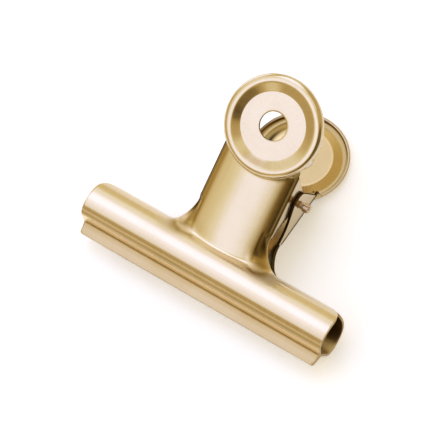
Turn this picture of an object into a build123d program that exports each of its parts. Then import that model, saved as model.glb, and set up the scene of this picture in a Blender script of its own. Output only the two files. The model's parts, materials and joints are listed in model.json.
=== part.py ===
from build123d import *
import os
from math import acos, asin, atan2, ceil, cos, degrees, hypot, pi, radians, sin, sqrt, tan

# Bulldog clip: two identical pressed plates, hinged on a pin and held shut by a torsion spring.
# The plate is shaped upright: X along the jaw, Z from the lip to the finger disc, Y outwards from the
# middle plane of the clip. The finished clip lies on its back plate. Millimetres and degrees.

# Sheet and jaw bar
sheet = 0.5
jaw_width = 51.0
bar_height = 10.65
bulge_reach = 5.5
bulge_round = 5.1
low_round = 2.75
shelf_slope = 13.0
lip_crease = 0.4
lip_gap = 0.1
lip_setback = 0.6
lip_end_height = 3.4
corner_round = 4.8

# Handle with its two side ears
handle_tilt = 18.4
handle_width = 15.2
handle_reach = 8.4
web_round = 24.0
bend_round = 1.2
neck_round = 3.6
crease_round = 0.8
ear_round = 2.2
ear_foot = 16.6
ear_blend = 4.0
ear_clearance = 0.06

# Finger disc
disc_radius = 9.4
disc_rise = 9.7
disc_step = 1.6
flat_radius = 6.15
crest_height = 0.6
rim_round = 1.1
rim_depth = 1.3
valley_round = 0.5
collar_round = 0.5
hole_radius = 2.6

# Pivot pin
pin_height = 24.0
pin_radius = 0.65
pin_clearance = 0.05
pin_neck = 0.8
head_radius = 0.85
head_length = 1.4
head_chamfer = 0.2
rivet_radius = 1.2
rivet_length = 0.7
rivet_gap = 0.1

# Torsion spring
wire_radius = 0.5
coil_radius = 1.8
coil_turns = 4
coil_gap = 0.6
leg_reach = 4.3
leg_clearance = 0.2

# Worked out from the sizes above
half_width = handle_width / 2
nest = (sheet + ear_clearance) / 2
lip_out = lip_gap / 2 + sheet
free_edge = bulge_reach - bulge_round
bulge_height = bar_height - bulge_round
tilt = radians(handle_tilt)
slope = radians(shelf_slope)
along = Vector(0, sin(tilt), cos(tilt))
outward = Vector(0, cos(tilt), -sin(tilt))
across = Vector(1, 0, 0)
crown = Vector(0, handle_reach, pin_height)
disc_centre = crown + along * disc_rise + outward * disc_step
bend_depth = web_round - sqrt((web_round - bend_round) ** 2 - (half_width - bend_round) ** 2)
crest_radius = disc_radius - rim_round
crest_centre = crest_height - rim_round
clear_depth = 4 * half_width


def polar(centre, radius, angle):
    return (centre[0] + radius * cos(radians(angle)), centre[1] + radius * sin(radians(angle)))


def arc(centre, radius, start, end):
    angles = (start, (start + end) / 2, end)
    return ThreePointArc(*[polar(centre, radius, angle) for angle in angles])


def face_of(*edges):
    return make_face(Curve() + list(edges))


def tangent_angle(centre, radius, point, side):
    # Direction from the circle's centre to the point where a line from outside touches the circle
    reach = hypot(point[0] - centre[0], point[1] - centre[1])
    bearing = degrees(atan2(point[1] - centre[1], point[0] - centre[0]))
    return bearing + side * degrees(acos(radius / reach))


def bar_curves():
    # The bar's outer line from the lip's foot to the free edge, and the inner line back again
    low_centre = (bulge_reach - low_round, bulge_height)
    bulge_centre = (free_edge, bulge_height)
    shelf_out = polar(low_centre, low_round, shelf_slope - 90)
    shelf_foot = shelf_out[1] - (shelf_out[0] - lip_out) * tan(slope)
    crease_centre = (lip_out + lip_crease, shelf_foot - lip_crease * (1 - sin(slope)) / cos(slope))
    turn = 90 + shelf_slope
    outer_crease = arc(crease_centre, lip_crease, 180, turn)
    outer_low = arc(low_centre, low_round, shelf_slope - 90, 0)
    outer_bulge = arc(bulge_centre, bulge_round, 0, 90)
    outer = [
        Line((lip_out, 0), outer_crease @ 0),
        outer_crease,
        Line(outer_crease @ 1, outer_low @ 0),
        outer_low,
        outer_bulge,
    ]
    inner_bulge = arc(bulge_centre, bulge_round - sheet, 90, 0)
    inner_low = arc(low_centre, low_round - sheet, 0, shelf_slope - 90)
    inner_crease = arc(crease_centre, lip_crease + sheet, turn, 180)
    inner = [
        inner_bulge,
        inner_low,
        Line(inner_low @ 1, inner_crease @ 0),
        inner_crease,
        Line(inner_crease @ 1, (lip_out - sheet, 0)),
    ]
    return outer, inner


def extrude_across(profile, length):
    return extrude(Plane.YZ * profile, length / 2, both=True)


def bar():
    outer, inner = bar_curves()
    closing = [Line(outer[-1] @ 1, inner[0] @ 0), Line(inner[-1] @ 1, outer[0] @ 0)]
    sheet_form = extrude_across(face_of(*outer, *inner, *closing), jaw_width)
    ends = Polyline(inner[2] @ 1, (0, (inner[2] @ 1).Y), (0, (inner[0] @ 0).Y), inner[0] @ 0)
    hollow = extrude_across(face_of(*inner[:3], ends), jaw_width)
    return sheet_form, hollow


def bar_end_cuts():
    # The free corners are rounded and the lip's ends are set back a little
    radius = min(corner_round, bulge_round)
    end = jaw_width / 2
    tall = bar_height - bulge_height + sheet
    corner = Rectangle(radius, radius, align=(Align.MAX, Align.MIN)) - Pos(-radius, radius) * Circle(radius)
    above = Pos(end, free_edge, bulge_height) * extrude(corner, tall)
    slant = Polyline((end, lip_end_height), (end - lip_setback, 0), (end, 0), close=True)
    below = extrude(Plane.XZ * make_face(slant), bulge_reach, both=True)
    cuts = [above, below]
    return cuts + [mirror(cut, Plane.YZ) for cut in cuts]


def channel_face(inset, depth):
    # Section across the handle: convex web, two bends and two straight sides, set in by the given wall
    side = half_width - inset
    bend = bend_round - inset
    web = web_round - inset
    web_centre = (0, -web_round)
    bend_centre = (half_width - bend_round, -bend_depth)
    mirrored = (-bend_centre[0], bend_centre[1])
    turn = degrees(atan2(bend_centre[1] - web_centre[1], bend_centre[0] - web_centre[0]))
    return face_of(
        Line((side, -depth), (side, -bend_depth)),
        arc(bend_centre, bend, 0, turn),
        arc(web_centre, web, turn, 180 - turn),
        arc(mirrored, bend, 180 - turn, 180),
        Line((-side, -bend_depth), (-side, -depth)),
        Line((-side, -depth), (side, -depth)),
    )


def side_face():
    # Side view of the handle with its ear, which narrows to a round tip past the pin
    pin = (0, pin_height)
    bend_line = crown - outward * (bend_depth + sheet / 2)
    limit = bend_line + along * ((ear_foot - bend_line.Z) / along.Z)
    top = disc_centre - along * sqrt(disc_radius ** 2 - half_width ** 2) - outward * (rim_depth + sheet)
    foot = limit - along * ((limit.Z - bulge_height) / along.Z)
    upper = tangent_angle(pin, ear_round, (top.Y, top.Z), 1)
    lower = tangent_angle(pin, ear_round, (limit.Y, limit.Z), -1)
    tip = arc(pin, ear_round, upper, lower + 360)
    far = outward * clear_depth
    points = [(limit.Y, limit.Z), (foot.Y, foot.Z), ((foot + far).Y, (foot + far).Z)]
    points += [((top + far).Y, (top + far).Z), (top.Y, top.Z)]
    outline = face_of(tip, Polyline(tip @ 1, *points, tip @ 0))
    corner = outline.vertices().sort_by_distance(Vector(limit.Y, limit.Z))[0]
    return fillet(corner, ear_blend)


def handle():
    # The channel starts inside the bar, and a round wall joins its head to the disc's rim
    foot = (bulge_height + bulge_round / 2 - pin_height) / along.Z
    lower = Plane(origin=crown + across * nest + along * foot, x_dir=across, z_dir=along)
    outer = extrude(lower * channel_face(0, clear_depth), disc_rise - foot)
    inner = extrude(lower * channel_face(sheet, clear_depth), disc_rise - foot)
    rim_edge = disc_centre - outward * (rim_depth - crest_height - sheet)
    under_rim = Plane(origin=rim_edge, x_dir=across, z_dir=-outward)
    collar = extrude(under_rim * Circle(disc_radius), disc_step + bend_depth)
    middle = Plane(origin=disc_centre + across * nest, x_dir=across, z_dir=along)
    collar &= middle * Box(handle_width, clear_depth, clear_depth)
    return (outer + collar) & extrude_across(side_face(), jaw_width), inner


def neck():
    # Rounded corners where the handle's sides run out into the bar's free edge
    base = crown + across * nest - outward * (bend_depth - bend_round)
    front = Plane(origin=base, x_dir=across, z_dir=-outward)
    edge = (Vector(0, free_edge, bar_height) - base).dot(along)
    low = edge - bulge_round / 2
    wall = half_width - bend_round
    out = half_width + neck_round
    curve = arc((out, edge + neck_round), neck_round, 180, 270)
    outline = Polyline(curve @ 1, (out, low), (wall, low), (wall, edge + neck_round), curve @ 0)
    wing = face_of(curve, outline)
    wings = wing + mirror(wing, Plane.YZ)
    filled = extrude(front * wings, sheet)
    behind = extrude(front.offset(sheet) * wings, clear_depth)
    return filled, behind


def disc_profiles():
    rise = atan2(crest_centre, crest_radius - flat_radius)
    rise += asin(rim_round / hypot(crest_centre, crest_radius - flat_radius))
    turn = 90 + degrees(rise)
    crest = (crest_radius, crest_centre)
    edge = crest_height - rim_depth
    outer_crest = arc(crest, rim_round, turn, 0)
    inner_crest = arc(crest, rim_round - sheet, turn, 0)
    inner_flat = flat_radius + sheet * tan(rise / 2)
    deep = -disc_step - bend_depth - clear_depth
    over = face_of(
        Polyline((0, edge), (0, 0), (flat_radius, 0), outer_crest @ 0),
        outer_crest,
        Polyline(outer_crest @ 1, (disc_radius, edge), (0, edge)),
    )
    under = face_of(
        Polyline((0, deep), (0, -sheet), (inner_flat, -sheet), inner_crest @ 0),
        inner_crest,
        Polyline(inner_crest @ 1, (disc_radius - sheet, deep), (0, deep)),
    )
    over = fillet(over.vertices().sort_by_distance((flat_radius, 0))[0], valley_round)
    under = fillet(under.vertices().sort_by_distance((inner_flat, -sheet))[0], valley_round + sheet)
    return over, under


def disc():
    place = Plane(origin=disc_centre, x_dir=across, z_dir=along)
    over, under = disc_profiles()
    spin = Axis(disc_centre, outward)
    dish = revolve(place * over, spin)
    hollow = revolve(place * under, spin)
    hole = Plane(origin=disc_centre, x_dir=across, z_dir=outward) * Cylinder(hole_radius, 4 * sheet)
    return dish, hollow, hole


def fold_point(inset):
    # Middle of the line where the handle's sheet leaves the bulge, on the outer face or a sheet below it
    bulge_centre = Vector(0, free_edge, bulge_height)
    radius = bulge_round - inset
    angle = acos(((crown - bulge_centre).dot(outward) - inset) / radius) - tilt
    return bulge_centre + across * nest + Vector(0, cos(angle), sin(angle)) * radius


def round_fold(plate, point, radius):
    fold = min(plate.edges(), key=lambda edge: (edge @ 0.5 - point).length)
    return fillet(fold, radius)


def jaw_plate():
    bar_sheet, bar_hollow = bar()
    handle_form, handle_hollow = handle()
    neck_sheet, neck_hollow = neck()
    disc_form, disc_hollow, hanging_hole = disc()
    hollows = [bar_hollow, handle_hollow, neck_hollow, disc_hollow, hanging_hole]
    plate = bar_sheet + handle_form + neck_sheet + disc_form
    bore = pin_radius + pin_clearance
    pin_holes = Pos(0, 0, pin_height) * Rot(0, 90, 0) * Cylinder(bore, jaw_width)
    plate = plate - hollows - bar_end_cuts() - pin_holes
    plate = round_fold(plate, fold_point(0), crease_round)
    plate = round_fold(plate, fold_point(sheet), crease_round + sheet)
    collar_foot = crown + across * nest + along * (disc_rise - disc_radius)
    return round_fold(plate, collar_foot, collar_round)


def pin_head(radius, length):
    head = Cylinder(radius, length, align=(Align.CENTER, Align.CENTER, Align.MIN))
    return chamfer(head.edges().filter_by(GeomType.CIRCLE), head_chamfer)


def pivot_pin():
    # Rod with a flat rivet head close to one outer ear and an upset end standing clear of the other
    ear_face = half_width + nest
    end = ear_face + pin_neck
    seat = ear_face + rivet_gap
    rod = Pos(0, 0, -seat) * Cylinder(pin_radius, seat + end, align=(Align.CENTER, Align.CENTER, Align.MIN))
    upset = Pos(0, 0, end) * pin_head(head_radius, head_length)
    rivet = Pos(0, 0, -seat) * Rot(180, 0, 0) * pin_head(rivet_radius, rivet_length)
    return Pos(0, 0, pin_height) * Rot(0, 90, 0) * (rod + upset + rivet)


def leg_tip():
    # Wire centre at the end of a leg, beside the inner face of the disc
    depth = sheet + wire_radius + leg_clearance
    return disc_centre - along * leg_reach - outward * depth


def coil_nodes():
    # Points and directions along the wire's centre line, a quarter turn or less apart
    tip = leg_tip()
    touch = tangent_angle((0, pin_height), coil_radius, (tip.Y, tip.Z), -1)
    sweep_angle = 360 * coil_turns + 180 + 2 * touch
    steps = ceil(sweep_angle / 90)
    rise = (2 * wire_radius + coil_gap) * sweep_angle / 360
    nodes = []
    for step in range(steps + 1):
        share = step / steps
        angle = radians(touch - sweep_angle * share)
        side = coil_radius * cos(angle)
        lift = coil_radius * sin(angle)
        lead = 0 if step in (0, steps) else rise / radians(sweep_angle)
        point = Vector((share - 0.5) * rise, side, pin_height + lift)
        nodes.append((point, Vector(lead, lift, -side).normalized()))
    return nodes


def biarc(start, start_way, end, end_way):
    # Two arcs that leave and arrive in the given directions and run into each other smoothly
    chord = end - start
    both = start_way + end_way
    turn = 2 * (1 - start_way.dot(end_way))
    lean = chord.dot(both)
    reach = (sqrt(lean * lean + turn * chord.dot(chord)) - lean) / turn
    meet = (start + end + (start_way - end_way) * reach) / 2
    meet_way = meet - (start + start_way * reach)
    return [TangentArc(start, meet, tangent=start_way), TangentArc(meet, end, tangent=meet_way)]


def spring_path():
    nodes = coil_nodes()
    tip = leg_tip()
    first, last = nodes[0][0], nodes[-1][0]
    edges = [Line(Vector(first.X, tip.Y, tip.Z), first)]
    for (start, start_way), (end, end_way) in zip(nodes, nodes[1:]):
        edges += biarc(start, start_way, end, end_way)
    edges.append(Line(last, Vector(last.X, -tip.Y, tip.Z)))
    return Wire(edges)


def torsion_spring():
    path = spring_path()
    section = Plane(origin=path @ 0, z_dir=path % 0) * Circle(wire_radius)
    wire = sweep(section, path=path)
    expected = pi * wire_radius ** 2 * path.length
    print("spring volume", round(wire.volume, 3), "section times length", round(expected, 3))
    print("spring's least gap to itself", round(least_gap(path), 3))
    return wire


def least_gap(path):
    # Points further apart along the wire than half a turn are measured against each other
    samples = 400
    spacing = path.length / samples
    skip = ceil(pi * coil_radius / spacing)
    points = [path @ (index / samples) for index in range(samples + 1)]
    nearest = path.length
    for index, point in enumerate(points):
        for other in points[index + skip:]:
            nearest = min(nearest, (point - other).length)
    return nearest - 2 * wire_radius


def lying_angle():
    # The clip lies on the bulge of its back bar and on the top of its back disc's rim
    rim = disc_centre + along * crest_radius + outward * crest_centre
    run = rim.Z - bulge_height
    fall = rim.Y - free_edge
    return degrees(atan2(fall, run) + asin((rim_round - bulge_round) / hypot(run, fall)))


os.makedirs("parts", exist_ok=True)
back_plate = jaw_plate()
pieces = {
    "back_jaw_plate": back_plate,
    "front_jaw_plate": Rot(0, 0, 180) * back_plate,
    "pivot_pin": pivot_pin(),
    "torsion_spring": torsion_spring(),
}

# Laid down: the handles point along +Y and the front plate is uppermost
lay = Rot(lying_angle() - 90, 0, 0)
box = Compound(children=[lay * piece for piece in pieces.values()]).bounding_box()
place = Pos(-box.center().X, -box.center().Y, -box.min.Z) * lay
for name, piece in pieces.items():
    export_step(place * piece, f"parts/{name}.step")
hinge = place * Pos(0, 0, pin_height)
print("lying angle", round(lying_angle(), 3), "hinge at", [round(v, 4) for v in hinge.position])
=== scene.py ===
import json
import math
import bpy
from mathutils import Matrix, Vector


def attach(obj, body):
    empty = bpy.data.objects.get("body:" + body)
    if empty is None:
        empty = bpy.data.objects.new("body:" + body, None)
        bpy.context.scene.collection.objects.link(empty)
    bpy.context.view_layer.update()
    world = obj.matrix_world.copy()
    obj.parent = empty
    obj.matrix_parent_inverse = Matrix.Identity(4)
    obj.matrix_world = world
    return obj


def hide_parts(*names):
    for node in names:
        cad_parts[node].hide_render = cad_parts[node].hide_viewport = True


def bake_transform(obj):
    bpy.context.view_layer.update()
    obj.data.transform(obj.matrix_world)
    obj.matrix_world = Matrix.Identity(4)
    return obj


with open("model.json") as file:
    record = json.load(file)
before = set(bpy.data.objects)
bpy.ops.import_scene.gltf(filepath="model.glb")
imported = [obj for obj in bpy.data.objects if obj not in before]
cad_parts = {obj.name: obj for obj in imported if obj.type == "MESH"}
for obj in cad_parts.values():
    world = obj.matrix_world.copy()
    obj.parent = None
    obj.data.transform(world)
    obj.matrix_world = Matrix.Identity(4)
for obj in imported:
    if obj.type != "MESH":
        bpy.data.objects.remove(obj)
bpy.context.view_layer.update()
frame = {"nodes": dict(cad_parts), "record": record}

mm = 0.001
print("frame loaded", sorted(frame["nodes"]))


def direction(heading, height):
    # heading from +Y towards +X, height above the floor, in degrees
    a, e = math.radians(heading), math.radians(height)
    return Vector((math.sin(a) * math.cos(e), math.cos(a) * math.cos(e), math.sin(e)))


def ease(x):
    x = min(1.0, max(0.0, x))
    return x * x * (3 - 2 * x)


def fade(x, start, length):
    # rises from the start over the length, or falls away up to the start where the length is negative
    return ease((x - start) / length)


def bell(x, middle, width):
    return math.exp(-(((x - middle) / width) ** 2))


def link(tree, source, target):
    # a socket is linked, and a plain value is set
    if hasattr(source, "is_linked"):
        tree.links.new(source, target)
    else:
        target.default_value = source


def mathNode(tree, operation, *values):
    node = tree.nodes.new("ShaderNodeMath")
    node.operation = operation
    for value, socket in zip(values, node.inputs):
        link(tree, value, socket)
    return node.outputs[0]


# camera at the photograph's angle
cameraSet = {
    "aim": (-2.95, -8.77, 9.56),   # mm, point in the middle of the picture
    "distance": 507.5,             # mm
    "azimuth": -39.49,             # heading of the view
    "elevation": 64.16,
    "roll": -7.16,
    "lens": 231.1,
    "sensor": 36.0,
    "clip": (0.01, 20),            # m
}


def addCamera():
    camData = bpy.data.cameras.new("photoCamera")
    cam = bpy.data.objects.new("photoCamera", camData)
    bpy.context.scene.collection.objects.link(cam)
    forward = direction(cameraSet["azimuth"], -cameraSet["elevation"])
    level = forward.cross(Vector((0, 0, 1))).normalized()
    right = Matrix.Rotation(-math.radians(cameraSet["roll"]), 3, forward) @ level
    up = right.cross(forward)
    turn = Matrix((right, up, -forward)).transposed()
    place = Vector(cameraSet["aim"]) * mm - forward * cameraSet["distance"] * mm
    cam.matrix_world = Matrix.Translation(place) @ turn.to_4x4()
    camData.lens = cameraSet["lens"]
    camData.sensor_width = cameraSet["sensor"]
    camData.clip_start, camData.clip_end = cameraSet["clip"]
    bpy.context.scene.camera = cam
    print("camera", cameraSet["lens"], "mm lens")


# studio: what the polished sheet reflects, as broad soft lights and dark patches in a warm dim room
studioSet = {
    "room": 0.36,
    "strength": 2.86,
    "tones": [                       # darkness to brightness, as shares of the strength
        (0.0, (0.020, 0.012, 0.006)),
        (0.3, (0.220, 0.168, 0.075)),
        (0.5, (0.315, 0.270, 0.165)),
        (0.7, (0.400, 0.390, 0.315)),
        (0.85, (0.500, 0.530, 0.745)),
        (1.0, (0.590, 0.645, 1.000)),
    ],
    "lights": [                      # direction, soft edge from inner to outer in degrees, tone
        {"heading": -135, "height": 55, "inner": 16, "outer": 40, "tone": 0.64},
        {"heading": -18, "height": 8, "inner": 15, "outer": 35, "tone": 0.53},
        {"heading": -24, "height": 46, "inner": 6, "outer": 24, "tone": 0.77},
        {"heading": -152, "height": 38, "inner": 4, "outer": 14, "tone": 0.72},
        {"heading": -152, "height": 56, "inner": 5, "outer": 18, "tone": 0.80},
        {"heading": -178, "height": 44, "inner": 5, "outer": 15, "tone": 0.80},
        {"heading": -163, "height": 43, "inner": 5, "outer": 15, "tone": 0.86},
        {"heading": -62, "height": 70, "inner": 9, "outer": 27, "tone": 1.0},
        {"heading": -130, "height": 69, "inner": 4, "outer": 13, "tone": 0.85},
        {"heading": -72, "height": 12, "inner": 14, "outer": 31, "tone": 0.92},
        {"heading": 180, "height": 8, "inner": 4, "outer": 12, "tone": 0.68},
        {"heading": -112, "height": 46, "inner": 9, "outer": 20, "tone": 0.73},
        {"heading": 165, "height": 78, "inner": 6, "outer": 15, "tone": 0.71},
        {"heading": 80, "height": 4, "inner": 5, "outer": 14, "tone": 0.70},
        {"heading": 128, "height": 15, "inner": 33, "outer": 46, "tone": 0.10},
        {"heading": 145, "height": 42, "inner": 7, "outer": 13, "tone": 0.05},
        {"heading": 160, "height": 19, "inner": 7, "outer": 14, "tone": 0.12},
    ],
}


def addStudio():
    world = bpy.data.worlds.new("studio")
    bpy.context.scene.world = world
    world.use_nodes = True
    tree = world.node_tree
    nodes, links = tree.nodes, tree.links
    nodes.clear()
    coords = nodes.new("ShaderNodeTexCoord").outputs["Generated"]
    tone = studioSet["room"]
    for light in studioSet["lights"]:
        dot = nodes.new("ShaderNodeVectorMath")
        dot.operation = "DOT_PRODUCT"
        dot.inputs[1].default_value = direction(light["heading"], light["height"])
        links.new(coords, dot.inputs[0])
        rim = nodes.new("ShaderNodeMapRange")
        rim.interpolation_type = "SMOOTHSTEP"
        rim.inputs["From Min"].default_value = math.cos(math.radians(light["outer"]))
        rim.inputs["From Max"].default_value = math.cos(math.radians(light["inner"]))
        links.new(dot.outputs["Value"], rim.inputs["Value"])
        mix = nodes.new("ShaderNodeMix")
        links.new(rim.outputs["Result"], mix.inputs[0])
        link(tree, tone, mix.inputs[2])
        link(tree, light["tone"], mix.inputs[3])
        tone = mix.outputs[0]
    ramp = nodes.new("ShaderNodeValToRGB")
    stops = ramp.color_ramp.elements
    while len(stops) < len(studioSet["tones"]):
        stops.new(0.5)
    for stop, (place, colour) in zip(stops, studioSet["tones"]):
        stop.position = place
        stop.color = (*colour, 1)
    links.new(tone, ramp.inputs[0])
    glow = nodes.new("ShaderNodeBackground")
    glow.inputs["Strength"].default_value = studioSet["strength"]
    links.new(ramp.outputs["Color"], glow.inputs["Color"])
    out = nodes.new("ShaderNodeOutputWorld")
    links.new(glow.outputs[0], out.inputs["Surface"])
    print("studio", len(studioSet["lights"]), "lights")


# floor: matt white, lifted to white where it is seen, so that only the shadow shows
floorSet = {"size": 3.0, "colour": (0.90, 0.91, 0.94), "lift": 0.34}


def addFloor():
    bpy.ops.object.select_all(action="DESELECT")
    bpy.ops.mesh.primitive_plane_add(size=floorSet["size"], location=(0, 0, 0))
    floor = bpy.context.object
    floor.name = "floor"
    mat = bpy.data.materials.new("paleFloor")
    mat.use_nodes = True
    tree = mat.node_tree
    shader = tree.nodes["Principled BSDF"]
    shader.inputs["Base Color"].default_value = (*floorSet["colour"], 1)
    shader.inputs["Roughness"].default_value = 1.0
    shader.inputs["Specular IOR Level"].default_value = 0.0
    shader.inputs["Emission Color"].default_value = (1, 1, 1, 1)
    rays = tree.nodes.new("ShaderNodeLightPath")
    seen = 0
    for kind in ("Is Camera Ray", "Is Glossy Ray", "Is Transmission Ray"):
        seen = mathNode(tree, "MAXIMUM", rays.outputs[kind], seen)
    link(tree, mathNode(tree, "MULTIPLY", seen, floorSet["lift"]), shader.inputs["Emission Strength"])
    floor.data.materials.append(mat)
    print("floor", floorSet["size"], "m")


# jaw plate: a flat blank is cut to its outline, pressed to shape, and joined to the spun finger disc
plate = {
    # mm and degrees
    "sheet": 0.5, "jawWidth": 51.0, "barHeight": 10.65, "bulgeReach": 5.5, "bulgeRound": 5.1,
    "lowRound": 2.75, "shelfSlope": 13.0, "lipCrease": 0.4, "lipGap": 0.1, "lipSetback": 0.6,
    "lipEndHeight": 3.4, "cornerRound": 4.8, "handleTilt": 18.4, "handleWidth": 15.2, "handleReach": 8.4,
    "webRound": 24.0, "bendRound": 1.2, "neckRound": 4.2, "earRound": 2.2, "earFoot": 16.6, "earBlend": 4.0,
    "earClearance": 0.06, "pinHeight": 24.0, "pinHole": 0.7,
    "discRadius": 9.4, "discRise": 9.7, "discStep": 1.6, "flatRadius": 6.15, "holeRadius": 2.6,
    "crestHeight": 0.6, "rimRound": 1.1, "rimDepth": 1.3,
    # the crest is flatter than round: added radius, over how many radians, and its share in the reach to the
    # wall; it is set in so that it stays inside the frame's box
    "crestFlat": 1.4, "crestWide": 0.244, "crestShare": 0.213, "crestInset": (0.08, 0.05),
    # lengths over which the bends are softened, and edges rounded
    "creaseSoft": 0.42, "neckSoft": 2.0, "valleySoft": 0.35, "collarSoft": 0.5, "edgeSoft": 0.05,
    "fadeWidth": 3.0, "openLead": 0.6, "closeLength": 3.0,
    # the neck is smoothed: middle beyond the strip's corner, reach, and margins of the web that is spared
    "neckMiddle": (0.5, 0.3), "neckSmooth": 4.2, "webSpared": (0.2, 0.6), "neckRepeat": 30, "rimRepeat": 2,
    # mesh
    "cell": 0.34, "barRows": (5, 6, 6, 14, 26), "discRows": (8, 5, 6), "crestRows": 24, "discSteps": 120,
    "softSamples": 12, "snapRounds": (8, 2), "evenRounds": 6, "collarRows": 5,
    "meetGap": 0.005, "edgeAngle": 55, "smoothAngle": 40,
}
tilt = math.radians(plate["handleTilt"])
along = Vector((math.sin(tilt), math.cos(tilt)))       # side view: outwards, up
outward = Vector((math.cos(tilt), -math.sin(tilt)))
crown = Vector((plate["handleReach"], plate["pinHeight"]))
pinSpot = Vector((0, plate["pinHeight"]))
halfWidth = plate["handleWidth"] / 2
nest = (plate["sheet"] + plate["earClearance"]) / 2
freeEdge = plate["bulgeReach"] - plate["bulgeRound"]
bulgeHeight = plate["barHeight"] - plate["bulgeRound"]
discSpot = crown + along * plate["discRise"] + outward * plate["discStep"]
collarRadius = plate["discRadius"] + plate["collarSoft"]
rimFootHeight = plate["crestHeight"] - plate["rimDepth"]


def barPath():
    # the bar's section from the lip's foot to the top of the bulge: lines and arcs, each with its rows
    lipRows, creaseRows, shelfRows, lowRows, bulgeRows = plate["barRows"]
    slope = math.radians(plate["shelfSlope"])
    lipOut = plate["lipGap"] / 2 + plate["sheet"]
    low = Vector((plate["bulgeReach"] - plate["lowRound"], bulgeHeight))
    shelfEnd = low + plate["lowRound"] * Vector((math.sin(slope), -math.cos(slope)))
    shelfFoot = shelfEnd.y - (shelfEnd.x - lipOut) * math.tan(slope)
    turn = plate["lipCrease"]
    crease = Vector((lipOut + turn, shelfFoot - turn * (1 - math.sin(slope)) / math.cos(slope)))
    shelfStart = crease + turn * Vector((-math.sin(slope), math.cos(slope)))
    return [
        ("line", Vector((lipOut, 0)), Vector((lipOut, crease.y)), lipRows),
        ("arc", crease, turn, math.pi, math.pi / 2 + slope, creaseRows),
        ("line", shelfStart, shelfEnd, shelfRows),
        ("arc", low, plate["lowRound"], slope - math.pi / 2, 0, lowRows),
        ("arc", Vector((freeEdge, bulgeHeight)), plate["bulgeRound"], 0, math.pi / 2, bulgeRows),
    ]


barParts = barPath()
barLengths = [(x[1] - x[2]).length if x[0] == "line" else x[2] * abs(x[4] - x[3]) for x in barParts]
barStarts = [sum(barLengths[:k]) for k in range(len(barParts))]
barLength = sum(barLengths)
lipRun, shelfRun, lowRun, bulgeRun = barStarts[1:]     # where the lip ends, and the shelf and the arcs begin


def barPoint(run):
    k = max(i for i in range(len(barParts)) if i == 0 or run >= barStarts[i])
    share = (run - barStarts[k]) / barLengths[k]
    part = barParts[k]
    if part[0] == "line":
        return part[1].lerp(part[2], share)
    angle = part[3] + (part[4] - part[3]) * share
    return part[1] + part[2] * Vector((math.cos(angle), math.sin(angle)))


webTurn = math.asin((halfWidth - plate["bendRound"]) / (plate["webRound"] - plate["bendRound"]))
webEnd = plate["webRound"] * webTurn
bendEnd = webEnd + plate["bendRound"] * (math.pi / 2 - webTurn)
stripEdge = bendEnd + plate["sheet"] / 2
barTop = (plate["barHeight"] - plate["pinHeight"]) / along.y
openRise = barTop - 1                                  # here the handle's bends are fully open


def handleSection(side, rise):
    # place across the handle and drop below its crown; the two bends open out towards the bar
    far = abs(side)
    turn = min(far, webEnd) / plate["webRound"]
    x = plate["webRound"] * math.sin(turn)
    drop = plate["webRound"] * (1 - math.cos(turn))
    if far > webEnd:
        lead = plate["openLead"]
        closed = max(0.001, ease((rise - barTop + lead) / (plate["neckRound"] + lead)))
        bend = closed / plate["bendRound"]
        final = turn + bend * (min(far, bendEnd) - webEnd)
        rest = max(0.0, far - bendEnd)
        x += (math.sin(final) - math.sin(turn)) / bend + rest * math.cos(final)
        drop += (math.cos(turn) - math.cos(final)) / bend + rest * math.sin(final)
    return math.copysign(x, side) + nest, drop


def handleSpot(drop, rise):
    return crown + along * rise - outward * drop


def creaseAt(side):
    # where the handle's sheet leaves the bulge: run along the bar, and rise along the handle
    drop = handleSection(side, openRise)[1]
    bulge = Vector((freeEdge, bulgeHeight))
    reach = (crown - bulge).dot(outward) - drop
    angle = min(math.pi / 2, math.acos(reach / plate["bulgeRound"]) - tilt)
    spot = bulge + plate["bulgeRound"] * Vector((math.cos(angle), math.sin(angle)))
    run = bulgeRun + plate["bulgeRound"] * angle
    gone = fade(abs(side), stripEdge, plate["neckRound"])
    beyond = barLength + 3 * plate["neckSoft"]         # past the softened stretch, so no crease is left
    return run + (beyond - run) * gone, (spot - crown).dot(along)


def sheetSpot(side, run, crease, riseThere):
    if run <= crease:
        spot = barPoint(run)
        return Vector((side, spot.x, spot.y))
    rise = riseThere + run - crease
    x, drop = handleSection(side, rise)
    spot = handleSpot(drop, rise)
    return Vector((side + (x - side) * fade(run, crease, plate["closeLength"]), spot.x, spot.y))


def pressedSpot(side, run):
    # the bend between bar and handle is rounded by averaging along the sheet
    crease, riseThere = creaseAt(side)
    wide = ease((abs(side) - webEnd + plate["fadeWidth"]) / (stripEdge - webEnd + plate["fadeWidth"]))
    soft = plate["creaseSoft"] + (plate["neckSoft"] - plate["creaseSoft"]) * wide
    if abs(run - crease) >= soft:
        return sheetSpot(side, run, crease, riseThere)
    count = plate["softSamples"]
    shares = [(2 * k + 1) / count - 1 for k in range(count)]
    spots = [sheetSpot(side, run + soft * x, crease, riseThere) for x in shares]
    return sum(spots, Vector((0, 0, 0))) / count


def roundUnion(a, b, radius):
    return max(radius, min(a, b)) - math.hypot(max(radius - a, 0), max(radius - b, 0))


def touchAngle(spot, side):
    away = spot - pinSpot
    return math.atan2(away.y, away.x) + side * math.acos(plate["earRound"] / away.length)


bendFoot = crown - outward * (stripEdge - bendEnd + handleSection(bendEnd, 0)[1])
earLow = bendFoot + along * ((plate["earFoot"] - bendFoot.y) / along.y)
rimFoot = math.sqrt(plate["discRadius"] ** 2 - halfWidth ** 2)
earHigh = discSpot - along * rimFoot - outward * (plate["rimDepth"] + plate["sheet"])
highAngle = touchAngle(earHigh, 1)
lowAngle = touchAngle(earLow, -1) + 2 * math.pi


def sideGap(away, angle):
    # distance beyond one of the ear's straight sides
    return away.dot(Vector((math.cos(angle), math.sin(angle)))) - plate["earRound"]


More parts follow.
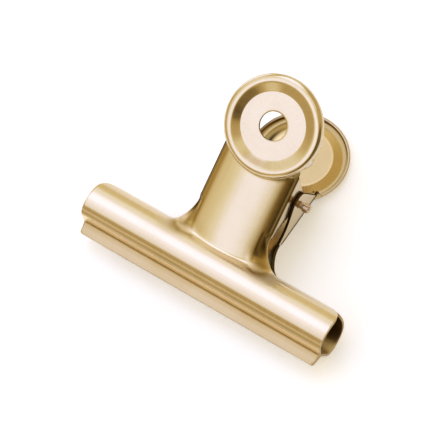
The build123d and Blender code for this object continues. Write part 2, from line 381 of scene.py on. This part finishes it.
def earGap(spot):
    away = spot - pinSpot
    bearing = (math.atan2(away.y, away.x) - highAngle) % (2 * math.pi) + highAngle
    if bearing < lowAngle:
        return away.length - plate["earRound"]
    return max(sideGap(away, angle) for angle in (highAngle, lowAngle))


def blankGap(side, run):
    # distance outside the blank's outline, less than nothing inside it
    far = abs(side)
    end = plate["jawWidth"] / 2
    spot = barPoint(run)
    setback = plate["lipSetback"] * max(0.0, 1 - spot.y / plate["lipEndHeight"])
    bar = max(far - end + setback, run - barLength, -run)
    past = far - end + plate["cornerRound"]
    inward = freeEdge + plate["cornerRound"] - spot.x
    if spot.y > bulgeHeight and past > 0 and inward > 0:
        bar = max(bar, math.hypot(past, inward) - plate["cornerRound"])
    crease, riseThere = creaseAt(side)
    rise = riseThere + run - crease
    x, drop = handleSection(side, rise)
    inView = handleSpot(drop, rise)
    handle = roundUnion(far - stripEdge, earGap(inView), plate["earBlend"])
    handle = max(handle, bulgeRun - run, collarRadius - math.hypot(x, rise - plate["discRise"]))
    if far > bendEnd:
        handle = max(handle, plate["pinHole"] - (inView - pinSpot).length)
    if rise > 0:
        handle = max(handle, sideGap(inView - pinSpot, highAngle))
    return roundUnion(bar, handle, plate["neckRound"])


def rowRuns():
    runs = [0.0]
    for part, start, length in zip(barParts, barStarts, barLengths):
        runs += [start + length * (k + 1) / part[-1] for k in range(part[-1])]
    crease, riseThere = creaseAt(0)
    top = crease - riseThere + plate["discRise"]
    count = math.ceil((top - barLength) / plate["cell"])
    return runs + [barLength + (top - barLength) * (k + 1) / count for k in range(count)]


def openEdges(mesh):
    uses = {}
    for face in mesh.polygons:
        for key in face.edge_keys:
            uses[key] = uses.get(key, 0) + 1
    return [key for key, count in uses.items() if count == 1]


def middleOf(mesh, picked):
    return sum((mesh.vertices[k].co for k in picked), Vector()) / len(picked)


def outlineSlope(spot):
    step = 0.002
    slopeX = blankGap(spot.x + step, spot.y) - blankGap(spot.x - step, spot.y)
    slopeY = blankGap(spot.x, spot.y + step) - blankGap(spot.x, spot.y - step)
    return Vector((slopeX, slopeY, 0)) / (2 * step)


def snapVert(vert, attempts):
    share, leastSlope = 0.8, 0.2                       # careful steps towards the outline
    for attempt in range(attempts):
        slope = outlineSlope(vert.co)
        vert.co -= slope * (share * blankGap(vert.co.x, vert.co.y) / max(leastSlope, slope.length_squared))
        vert.co.y = max(0.0, vert.co.y)


def cutBlank():
    runs = rowRuns()
    columns = 2 * round(plate["jawWidth"] / 2 / plate["cell"])
    bpy.ops.object.select_all(action="DESELECT")
    bpy.ops.mesh.primitive_grid_add(x_subdivisions=columns, y_subdivisions=len(runs) - 1, size=2)
    blank = bpy.context.object
    mesh = blank.data
    for vert in mesh.vertices:
        row = round((vert.co.y + 1) / 2 * (len(runs) - 1))
        vert.co = (vert.co.x * plate["jawWidth"] / 2, runs[row], 0)
    for item in (*mesh.edges, *mesh.vertices):
        item.select = False
    for face in mesh.polygons:
        centre = middleOf(mesh, face.vertices)
        face.select = blankGap(centre.x, centre.y) > 0
    bpy.context.tool_settings.mesh_select_mode = (False, False, True)
    bpy.ops.object.mode_set(mode="EDIT")
    bpy.ops.mesh.delete(type="FACE")
    bpy.ops.object.mode_set(mode="OBJECT")
    beside = {}
    for a, b in openEdges(mesh):
        beside.setdefault(a, []).append(b)
        beside.setdefault(b, []).append(a)
    firstSnap, laterSnap = plate["snapRounds"]
    for k in beside:
        snapVert(mesh.vertices[k], firstSnap)
    # the outline's points are spread evenly along it
    for turn in range(plate["evenRounds"]):
        middles = {k: middleOf(mesh, near) for k, near in beside.items()}
        for k, middle in middles.items():
            vert = mesh.vertices[k]
            across = outlineSlope(vert.co).normalized()
            shift = (middle - vert.co) * 0.5
            vert.co += shift - across * shift.dot(across)
            snapVert(vert, laterSnap)
    return blank, set(beside)


# painted shade and painted light on the sheet, as tones, 1 for bright gold
paintedLightSet = {
    # painted shade in bands: middle from the line that they follow, width, strength
    "lowBand": (1.2, 0.55, 0.48), "highBand": (2.85, 0.4, 0.14), "groove": (0.1, 0.35, 0.45),
    "web": (-0.4, 0.5, 0.6),
    # painted shade in areas: strength, then starts from such a line and fading lengths
    "under": 0.13, "underStart": (0, 0.5), "underEnd": (-0.3, -0.9),
    "lip": 0.33, "lipEnd": (0, -0.3),
    "bend": 0.88, "bendStart": (-0.1, 0.6), "bendFoot": (-1, 3),
    "flange": 0.78, "flangeStart": (0.25, 0.5),
    "corner": 0.6, "cornerMiddle": (-0.4, -2.2), "cornerReach": 2.6, "cornerSize": 1.35,
    "webFoot": (0, 0.8),
    # painted highlight on the shelf and below the crease
    "shelf": 0.9, "shelfStart": (0, 0.4), "shelfEnd": (0.4, -0.4),
    "crease": (-0.8, 0.7, 0.5), "creaseEnd": (12, -3),
    # the neck is rougher: middle, reach and size of the patch
    "mattMiddle": (9.5, 13), "mattReach": (3.2, 2.2), "mattSize": 1.4, "matt": 2.8,
    # inside: painted shade in the bulge and in the ears near the bar, painted light under the bulge
    "dark": 0.9, "bulgeStart": (0, 0.5), "bulgeEnd": (3, -3),
    "earStart": (6.2, 1.0), "earFoot": (-2, 2), "earEnd": (6, -3), "glow": (2.2, 1.6, 1),
    # cut edges, by plate, and at the ends of the bar: painted shade, darker on the back plate, lighter at the
    # ends
    "edge": {"backPlate": 0.1, "frontPlate": 0.8}, "endEdge": 0.9, "endStart": (18, 3),
}


def toneBand(x, line, name):
    middle, width, strength = paintedLightSet[name]
    return strength * bell(x, line + middle, width)


def toneFade(x, line, name):
    start, length = paintedLightSet[name]
    return fade(x, line + start, length)


def sheetPaintedShade(side, run):
    # painted shade under the bulge, on the lip, round the bends and at the ends of the crease, with less of
    # it on the flanges
    far = abs(side)
    under = paintedLightSet["under"] * toneFade(run, lowRun, "underStart") * toneFade(run, bulgeRun, "underEnd")
    under += toneBand(run, lowRun, "lowBand") + toneBand(run, lowRun, "highBand")
    lip = paintedLightSet["lip"] * toneFade(run, lipRun, "lipEnd") + toneBand(run, lipRun, "groove")
    bend = toneFade(far, webEnd, "bendStart") * toneFade(run, barLength, "bendFoot")
    flange = toneFade(far, bendEnd, "flangeStart") * bend
    besideStrip, belowTop = paintedLightSet["cornerMiddle"]
    away = math.hypot(far - stripEdge - besideStrip, run - barLength - belowTop) / paintedLightSet["cornerReach"]
    corner = paintedLightSet["corner"] * ease(paintedLightSet["cornerSize"] - away)
    web = toneBand(far, webEnd, "web") * toneFade(run, creaseAt(side)[0], "webFoot")
    brown = under + lip + paintedLightSet["bend"] * bend - paintedLightSet["flange"] * flange + max(corner, web) * (1 - bend)
    return max(0.0, 1 - brown)


def sheetPaintedHighlight(side, run):
    # painted highlight on the shelf above the lip, and just below the crease
    shelf = paintedLightSet["shelf"] * toneFade(run, shelfRun, "shelfStart") * toneFade(run, lowRun, "shelfEnd")
    crease = toneBand(run, creaseAt(side)[0], "crease") * toneFade(abs(side), 0, "creaseEnd")
    return max(shelf, crease)


def sheetPolish(side, run):
    # the neck is rougher than the rest
    middle, reach = paintedLightSet["mattMiddle"], paintedLightSet["mattReach"]
    away = math.hypot((abs(side) - middle[0]) / reach[0], (run - middle[1]) / reach[1])
    return -paintedLightSet["matt"] * ease(paintedLightSet["mattSize"] - away)


def insideShade(side, run):
    # painted shade inside the bulge and in the ears near the bar
    bulge = toneFade(run, bulgeRun, "bulgeStart") * toneFade(run, barLength, "bulgeEnd")
    ear = toneFade(abs(side), 0, "earStart") * toneFade(run, barLength, "earFoot")
    ear *= toneFade(run, barLength, "earEnd")
    return 1 - paintedLightSet["dark"] * max(bulge, ear)


def edgePaintedShade(name, side):
    # painted shade on the cut edges: darker on the back plate, lighter towards the ends of the bar
    edge = paintedLightSet["edge"][name]
    return edge + (paintedLightSet["endEdge"] - edge) * toneFade(abs(side), 0, "endStart")


def markSheet(mesh, flats, marks):
    flat = mesh.attributes.new("flat", "FLOAT_VECTOR", "POINT")
    for k, place in enumerate(flats):
        flat.data[k].vector = (*place, 0)
    for name, values in marks.items():
        mark = mesh.attributes.new(name, "FLOAT", "POINT")
        for k, value in enumerate(values):
            mark.data[k].value = value


def smoothVerts(obj, picked, repeat):
    mesh = obj.data
    for item in (*mesh.polygons, *mesh.edges):
        item.select = False
    for vert in mesh.vertices:
        vert.select = vert.index in picked
    bpy.context.tool_settings.mesh_select_mode = (True, False, False)
    bpy.ops.object.mode_set(mode="EDIT")
    bpy.ops.mesh.vertices_smooth(factor=0.5, repeat=repeat)
    bpy.ops.object.mode_set(mode="OBJECT")


def inNeck(side, run):
    besideStrip, aboveBar = plate["neckMiddle"]
    webMargin, barMargin = plate["webSpared"]
    away = math.hypot(abs(side) - stripEdge - besideStrip, run - barLength - aboveBar)
    onWeb = abs(side) <= webEnd - webMargin and run >= barLength - barMargin
    return away < plate["neckSmooth"] and not onWeb


def pressPlate(name):
    blank, rim = cutBlank()
    mesh = blank.data
    near = {k for face in mesh.polygons if rim & set(face.vertices) for k in face.vertices} - rim
    smoothVerts(blank, near, plate["rimRepeat"])
    flats = [(vert.co.x, vert.co.y) for vert in mesh.vertices]
    for vert, place in zip(mesh.vertices, flats):
        vert.co = pressedSpot(*place)
    smoothVerts(blank, {k for k, place in enumerate(flats) if inNeck(*place)}, plate["neckRepeat"])
    # the marks carry painted shade and painted light; polish is roughness
    marks = {
        "tone": [sheetPaintedShade(*place) for place in flats],
        "shade": [insideShade(*place) for place in flats],
        "edge": [edgePaintedShade(name, side) for side, run in flats],
        "polish": [sheetPolish(*place) for place in flats],
        "paintedHighlight": [sheetPaintedHighlight(*place) for place in flats],
        # painted light inside, under the bulge
        "glow": [toneBand(run, lowRun, "glow") for side, run in flats],
    }
    markSheet(mesh, flats, marks)
    blank.name = name
    return blank


# painted shade and painted light on the disc, as tones by radius in mm: steps are start, fading length,
# strength
discToneSet = {
    "face": 0.95, "bevel": 0.08, "bevelEnd": 7.9, "bevelFade": 0.5,
    "handleSide": 0.3, "handleSideWidth": 0.35,        # painted shade on the bevel towards the handle
    "inside": 0.7, "insideBevel": (5.6, 0.8, 0.15), "insideRim": (7.7, 0.7, -0.35),
    "edge": 0.9, "holeEdge": (0, -1.0, -0.5),
    # painted shadow of the other disc: the side that it covers, its heading and width, and the painted shade
    # and light there
    "covered": (-math.pi / 2, 0.6), "coveredRing": (6.0, 0.3, -0.36), "coveredRingEnd": (7.9, -0.4, 1),
    "coveredBand": (6.4, 0.4, -0.6), "coveredFlat": (5.9, -0.4, 0.45), "coveredEdge": (8.0, 0.5, -0.45),
    "grain": (4, 9),                                   # streaks run out from the middle
}


def discFade(radius, name, origin=0.0):
    start, length, strength = discToneSet[name]
    return strength * fade(radius, origin + start, length)


def discPaintedShade(radius, turn):
    # painted shade on the bevel, deepest towards the handle
    length = discToneSet["bevelFade"]
    bevel = fade(radius, plate["flatRadius"], length) * fade(radius, discToneSet["bevelEnd"], -length)
    handleSide = discToneSet["handleSide"] * bell(turn, 0, discToneSet["handleSideWidth"])
    return discToneSet["face"] - bevel * (discToneSet["bevel"] + handleSide)


def discShade(radius, covered):
    # inside: painted shade and painted light by radius, and the other disc's painted shadow on the side it
    # covers
    middle, width, strength = discToneSet["coveredBand"]
    change = discFade(radius, "coveredRing") * discFade(radius, "coveredRingEnd")
    change += strength * bell(radius, middle, width) + discFade(radius, "coveredFlat")
    plain = discToneSet["inside"] + discFade(radius, "insideBevel") + discFade(radius, "insideRim")
    return plain + covered * change


def discEdge(radius, covered):
    # cut edges: darker at the hole, and painted shade on the side the other disc covers
    hole = discFade(radius, "holeEdge", plate["flatRadius"])
    return discToneSet["edge"] + hole + covered * discFade(radius, "coveredEdge")


def rimArc(rise):
    # round the crest from the bevel to the rim's wall, flatter at the top
    tight = plate["rimRound"] - plate["crestShare"] * plate["crestFlat"]
    fine = 20                                          # steps that are summed up for each row
    count = plate["crestRows"] * fine
    step = (math.pi / 2 + rise) / count
    spots = [Vector((0, 0))]
    for k in range(count):
        lean = -rise + step * (k + 0.5)
        bow = tight + plate["crestFlat"] * bell(lean, 0, plate["crestWide"])
        spots.append(spots[-1] + step * bow * Vector((math.cos(lean), -math.sin(lean))))
    peak = max(spot.y for spot in spots)
    shift = Vector((plate["discRadius"] - spots[-1].x, plate["crestHeight"] - peak))
    shift -= Vector(plate["crestInset"])
    return [spot + shift for spot in spots[::fine]]


def discProfile():
    # radius and height from the hanging hole to the rim's foot
    flatRows, valleyRows, bevelRows = plate["discRows"]
    crest = Vector((plate["discRadius"] - plate["rimRound"], plate["crestHeight"] - plate["rimRound"]))
    span = Vector((crest.x - plate["flatRadius"], crest.y))
    rise = math.atan2(span.y, span.x) + math.asin(plate["rimRound"] / span.length)
    soft = plate["valleySoft"]
    valley = Vector((plate["flatRadius"] - soft * math.tan(rise / 2), soft))
    hole = plate["holeRadius"]
    points = [Vector((hole + (valley.x - hole) * k / flatRows, 0)) for k in range(flatRows)]
    for k in range(valleyRows + 1):
        lean = rise * k / valleyRows
        points.append(valley + soft * Vector((math.sin(lean), -math.cos(lean))))
    arc = rimArc(rise)
    points += [points[-1].lerp(arc[0], k / bevelRows) for k in range(1, bevelRows)] + arc
    points.append(Vector((arc[-1].x, rimFootHeight)))
    return points


def discPlace(spot):
    # across, along and above the disc
    away = Vector((spot.y, spot.z)) - discSpot
    return spot.x, away.dot(along), away.dot(outward)


def spinDisc():
    mesh = bpy.data.meshes.new("disc")
    spots = [discSpot + along * r + outward * h for r, h in discProfile()]
    mesh.from_pydata([(0, spot.x, spot.y) for spot in spots], [(k, k + 1) for k in range(len(spots) - 1)], [])
    disc = bpy.data.objects.new("disc", mesh)
    bpy.context.scene.collection.objects.link(disc)
    bpy.ops.object.select_all(action="DESELECT")
    disc.select_set(True)
    bpy.context.view_layer.objects.active = disc
    bpy.ops.object.mode_set(mode="EDIT")
    bpy.ops.mesh.select_all(action="SELECT")
    bpy.ops.mesh.spin(steps=plate["discSteps"], angle=2 * math.pi, center=(0, *discSpot), axis=(0, *outward))
    bpy.ops.mesh.select_all(action="SELECT")
    bpy.ops.mesh.remove_doubles(threshold=0.001)
    bpy.ops.object.mode_set(mode="OBJECT")
    places = [discPlace(vert.co) for vert in mesh.vertices]
    rims = [math.hypot(x, y) for x, y, h in places]
    turns = [math.atan2(x, -y) for x, y, h in places]  # 0 towards the handle
    # painted shadow where the other disc covers this one
    covered = [bell(turn, *discToneSet["covered"]) for turn in turns]
    marks = {
        "tone": [discPaintedShade(r, turn) for r, turn in zip(rims, turns)],
        "shade": [discShade(r, share) for r, share in zip(rims, covered)],
        "edge": [discEdge(r, share) for r, share in zip(rims, covered)],
        "polish": [1] * len(rims),
        "paintedHighlight": [0] * len(rims),
        "glow": [0] * len(rims),
    }
    aroundScale, outScale = discToneSet["grain"]
    flats = [(aroundScale * math.atan2(x, y), outScale * r) for (x, y, h), r in zip(places, rims)]
    markSheet(mesh, flats, marks)
    return disc


def chooseEdges(mesh, keys):
    keys = set(keys)
    for item in (*mesh.polygons, *mesh.edges, *mesh.vertices):
        item.select = False
    for edge in mesh.edges:
        if edge.key in keys:
            edge.select = True
            for k in edge.vertices:
                mesh.vertices[k].select = True


def joinDisc(sheet, disc):
    # a collar is bridged from the handle's end to the rim's foot
    bpy.ops.object.select_all(action="DESELECT")
    disc.select_set(True)
    sheet.select_set(True)
    bpy.context.view_layer.objects.active = sheet
    bpy.ops.object.join()
    mesh = sheet.data
    outlineSlack, footSlack = 0.03, 0.01
    lower, upper = [], []
    for key in openEdges(mesh):
        spots = [discPlace(mesh.vertices[k].co) for k in key]
        if all(abs(math.hypot(x, y) - collarRadius) < outlineSlack and y < 0 for x, y, h in spots):
            lower.append(key)
        elif all(abs(h - rimFootHeight) < footSlack and y < 0 for x, y, h in spots):
            if all(abs(x - nest) <= halfWidth for x, y, h in spots):
                upper.append(key)
    print("bridge", len(lower), "to", len(upper), "edges")
    chooseEdges(mesh, lower + upper)
    bpy.context.tool_settings.mesh_select_mode = (False, True, False)
    bpy.ops.object.mode_set(mode="EDIT")
    bpy.ops.mesh.bridge_edge_loops(number_cuts=plate["collarRows"], interpolation="SURFACE", smoothness=1.0)
    bpy.ops.mesh.select_all(action="SELECT")
    bpy.ops.mesh.normals_make_consistent(inside=False)
    bpy.ops.object.mode_set(mode="OBJECT")
    onFlat = Vector(((plate["holeRadius"] + plate["flatRadius"]) / 2, *discSpot))
    flat = min(mesh.polygons, key=lambda face: (face.center - onFlat).length)
    if flat.normal.dot(Vector((0, *outward))) < 0:
        bpy.ops.object.mode_set(mode="EDIT")
        bpy.ops.mesh.flip_normals()
        bpy.ops.object.mode_set(mode="OBJECT")


def applyModifier(obj, kind, **values):
    mod = obj.modifiers.new(kind, kind)
    for key, value in values.items():
        setattr(mod, key, value)
    bpy.ops.object.select_all(action="DESELECT")
    obj.select_set(True)
    bpy.context.view_layer.objects.active = obj
    bpy.ops.object.modifier_apply(modifier=mod.name)


# the shape is worked out upright in mm, then laid where the frame has the lip's foot
def layDown(obj, halfTurn):
    grip = next(m for m in frame["record"]["mounts"] if m["name"] == "jaw_grip")
    up = -Vector(grip["axis"])
    out = up.cross(Vector((1, 0, 0)))
    turn = Matrix((Vector((1, 0, 0)), out, up)).transposed().to_4x4()
    lay = Matrix.Translation(Vector(grip["pos_m"])) @ turn @ Matrix.Scale(mm, 4)
    obj.data.transform(lay @ Matrix.Rotation(math.pi if halfTurn else 0, 4, "Z"))
    obj.data.update()


def addPlate(name, node, body, halfTurn, finishes):
    sheet = pressPlate(name)
    joinDisc(sheet, spinDisc())
    for mat in finishes:
        sheet.data.materials.append(mat)
    inside, cutEdge = 1, 2                             # places in the list of finishes
    applyModifier(sheet, "SOLIDIFY", thickness=plate["sheet"], offset=-1, use_even_offset=True,
                  material_offset=inside, material_offset_rim=cutEdge)
    # points that meet on the inside of a tight bend become one
    applyModifier(sheet, "WELD", merge_threshold=plate["meetGap"])
    # not clamped, because the shortest edge would thin the bevel everywhere
    applyModifier(sheet, "BEVEL", width=plate["edgeSoft"], segments=2, limit_method="ANGLE",
                  angle_limit=math.radians(plate["edgeAngle"]), material=cutEdge, use_clamp_overlap=False)
    bpy.ops.object.shade_smooth_by_angle(angle=math.radians(plate["smoothAngle"]))
    layDown(sheet, halfTurn)
    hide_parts(node)
    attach(sheet, body)
    print(name, len(sheet.data.polygons), "faces")


# finishes: gold plate under lacquer, from brown to bright by the attribute named as its mark, which holds
# painted shade and painted light;
# another attribute lifts it to a pale and rougher gold, as painted highlight outside and painted light inside
finishSet = {
    "plateGold": {"bright": (0.66, 0.54, 0.346), "amber": (0.43, 0.29, 0.10), "brown": (0.05, 0.033, 0.013),
                  "roughness": 0.19, "grain": 1.0, "bump": 0.08, "mark": "tone", "lift": "paintedHighlight"},
    # the inside's gold, darkened by painted shade and lifted by painted light
    "insideGold": {"bright": (0.70, 0.51, 0.23), "amber": (0.38, 0.27, 0.10), "brown": (0.06, 0.04, 0.015),
                   "roughness": 0.36, "grain": 0.4, "bump": 0.02, "mark": "shade", "lift": "glow"},
    "cutEdge": {"bright": (0.50, 0.36, 0.17), "amber": (0.17, 0.105, 0.045), "brown": (0.05, 0.03, 0.012),
                "roughness": 0.36, "grain": 0.3, "bump": 0.08, "mark": "edge"},
    "pinGold": {"bright": (0.58, 0.43, 0.27), "amber": (0.34, 0.22, 0.11), "brown": (0.08, 0.05, 0.03),
                "roughness": 0.24, "grain": 0.0, "bump": 0.08},
    "springWire": {"bright": (0.50, 0.44, 0.35), "amber": (0.30, 0.25, 0.18), "brown": (0.08, 0.06, 0.04),
                   "roughness": 0.28, "grain": 0.0, "bump": 0.08},
}
surfaceSet = {
    "clouds": (160, 3), "specks": (1900, 2),           # noise: scale and detail
    "grain": (1.0, 3), "grainStretch": (3.4, 0.10, 1.0),
    "cloudTone": 0.16, "plainTone": (0.5, 0.62),       # clouds' share in the tone, with and without a mark
    "streak": 0.14, "streakRough": 0.16,
    # colour of the painted highlight outside and the painted light inside
    "liftColour": (0.98, 0.80, 0.46, 1), "liftRough": 0.27,
    "polishRough": -0.09,
    "brownGlance": (0.10, 0.07, 0.04, 1),              # tint at a glancing angle where the mark is low, so with the painted shade
    "bumpDepth": 0.00002,                              # m
}


def noiseNode(tree, coords, scale, detail, stretch=None):
    if stretch:
        mapping = tree.nodes.new("ShaderNodeMapping")
        mapping.inputs["Scale"].default_value = stretch
        tree.links.new(coords, mapping.inputs["Vector"])
        coords = mapping.outputs["Vector"]
    node = tree.nodes.new("ShaderNodeTexNoise")
    node.inputs["Scale"].default_value = scale
    node.inputs["Detail"].default_value = detail
    tree.links.new(coords, node.inputs["Vector"])
    return node.outputs["Fac"]


def swayNode(tree, noise, reach, base):
    # the base, moved up and down by the noise
    return mathNode(tree, "MULTIPLY_ADD", mathNode(tree, "SUBTRACT", noise, 0.5), reach, base)


def markNode(tree, name, output="Fac"):
    node = tree.nodes.new("ShaderNodeAttribute")
    node.attribute_name = name
    return node.outputs[output]


def mixColour(tree, share, first, second, blend="MIX"):
    node = tree.nodes.new("ShaderNodeMix")
    node.data_type = "RGBA"
    node.blend_type = blend
    for value, socket in ((share, node.inputs[0]), (first, node.inputs[6]), (second, node.inputs[7])):
        link(tree, value, socket)
    return node.outputs[2]


def metalFinish(name):
    spec = finishSet[name]
    mat = bpy.data.materials.new(name)
    mat.use_nodes = True
    tree = mat.node_tree
    shader = tree.nodes["Principled BSDF"]
    place = tree.nodes.new("ShaderNodeTexCoord").outputs["Object"]
    clouds = noiseNode(tree, place, *surfaceSet["clouds"])
    specks = noiseNode(tree, place, *surfaceSet["specks"])
    if "mark" in spec:
        share = swayNode(tree, clouds, surfaceSet["cloudTone"], markNode(tree, spec["mark"]))
        flat = markNode(tree, "flat", "Vector")
        grain = noiseNode(tree, flat, *surfaceSet["grain"], surfaceSet["grainStretch"])
    else:
        share = mathNode(tree, "MULTIPLY_ADD", clouds, *surfaceSet["plainTone"])
        grain = specks
    ramp = tree.nodes.new("ShaderNodeValToRGB")
    stops = ramp.color_ramp.elements
    stops.new(0.5)
    for stop, shade in zip(stops, ("brown", "amber", "bright")):
        stop.color = (*spec[shade], 1)
    tree.links.new(share, ramp.inputs[0])
    streak = swayNode(tree, grain, surfaceSet["streak"] * spec["grain"], 1.0)
    colour = mixColour(tree, 1.0, ramp.outputs["Color"], streak, "MULTIPLY")
    rough = swayNode(tree, specks, spec["bump"], spec["roughness"])
    rough = swayNode(tree, grain, surfaceSet["streakRough"] * spec["grain"], rough)
    if "mark" in spec:
        rough = mathNode(tree, "MULTIPLY_ADD", markNode(tree, "polish"), surfaceSet["polishRough"], rough)
        # the painted shade also tints the glancing reflection brown
        glance = mixColour(tree, share, surfaceSet["brownGlance"], (1, 1, 1, 1))
        link(tree, glance, shader.inputs["Specular Tint"])
    # the lift mark paints a paler, rougher gold: painted highlight outside, painted light inside
    if "lift" in spec:
        lift = markNode(tree, spec["lift"])
        colour = mixColour(tree, lift, colour, surfaceSet["liftColour"])
        rough = mathNode(tree, "MULTIPLY_ADD", lift, surfaceSet["liftRough"], rough)
    link(tree, colour, shader.inputs["Base Color"])
    link(tree, rough, shader.inputs["Roughness"])
    shader.inputs["Metallic"].default_value = 1.0
    bump = tree.nodes.new("ShaderNodeBump")
    bump.inputs["Strength"].default_value = spec["bump"]
    bump.inputs["Distance"].default_value = surfaceSet["bumpDepth"]
    tree.links.new(mathNode(tree, "ADD", grain, specks), bump.inputs["Height"])
    tree.links.new(bump.outputs["Normal"], shader.inputs["Normal"])
    return mat


# torsion spring: wire coiled round the pin, one leg behind each disc; wire and coil are radii in mm
springSet = {
    "wire": 0.5, "coil": 1.8, "turns": 4, "gap": 0.6, "legReach": 4.3, "legClearance": 0.2,
    "steps": 40, "legSteps": 24, "roundSteps": 6, "tipShare": 0.8,
}


def springLine():
    depth = plate["sheet"] + springSet["wire"] + springSet["legClearance"]
    tip = discSpot - along * springSet["legReach"] - outward * depth
    away = tip - pinSpot
    touch = math.atan2(away.y, away.x) - math.acos(springSet["coil"] / away.length)
    sweep = 2 * math.pi * springSet["turns"] + math.pi + 2 * touch
    rise = (2 * springSet["wire"] + springSet["gap"]) * sweep / (2 * math.pi)
    count = round(springSet["steps"] * sweep / (2 * math.pi))
    coil = []
    for k in range(count + 1):
        angle = touch - sweep * k / count
        spot = pinSpot + springSet["coil"] * Vector((math.cos(angle), math.sin(angle)))
        coil.append(Vector((rise * (k / count - 0.5), spot.x, spot.y)))
    shares = [k / springSet["legSteps"] for k in range(springSet["legSteps"])]
    first = Vector((-rise / 2, tip.x, tip.y))
    last = Vector((rise / 2, -tip.x, tip.y))
    firstLeg = [first.lerp(coil[0], share) for share in shares]
    lastLeg = [last.lerp(coil[-1], share) for share in reversed(shares)]
    return firstLeg + coil + lastLeg, rise


def addSpring():
    line, rise = springLine()
    curve = bpy.data.curves.new("springWire", "CURVE")
    curve.dimensions = "3D"
    curve.bevel_depth = springSet["wire"]
    curve.bevel_resolution = springSet["roundSteps"]
    curve.use_fill_caps = True
    spline = curve.splines.new("POLY")
    spline.points.add(len(line) - 1)
    for point, spot in zip(spline.points, line):
        point.co = (*spot, 1)
    for k in (0, -1):
        spline.points[k].radius = springSet["tipShare"]
    spring = bpy.data.objects.new("springWire", curve)
    bpy.context.scene.collection.objects.link(spring)
    bpy.ops.object.select_all(action="DESELECT")
    spring.select_set(True)
    bpy.context.view_layer.objects.active = spring
    bpy.ops.object.convert(target="MESH")
    spring = bpy.context.object
    bpy.ops.object.shade_smooth_by_angle(angle=math.radians(plate["smoothAngle"]))
    layDown(spring, False)
    spring.data.materials.clear()
    spring.data.materials.append(metalFinish("springWire"))
    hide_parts("torsion_spring")
    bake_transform(spring)
    print("spring", len(spring.data.polygons), "faces")


# the pin keeps the frame's own shape
def finishPin():
    pin = frame["nodes"]["pivot_pin"]
    pin.data.materials.clear()
    pin.data.materials.append(metalFinish("pinGold"))
    print("pin finished")


addCamera()
addStudio()
addFloor()
finishes = [metalFinish(name) for name in ("plateGold", "insideGold", "cutEdge")]
addPlate("backPlate", "back_jaw_plate", "back_half", False, finishes)
addPlate("frontPlate", "front_jaw_plate", "front_half", True, finishes)
addSpring()
finishPin()

bpy.context.scene.view_settings.view_transform = "Standard"
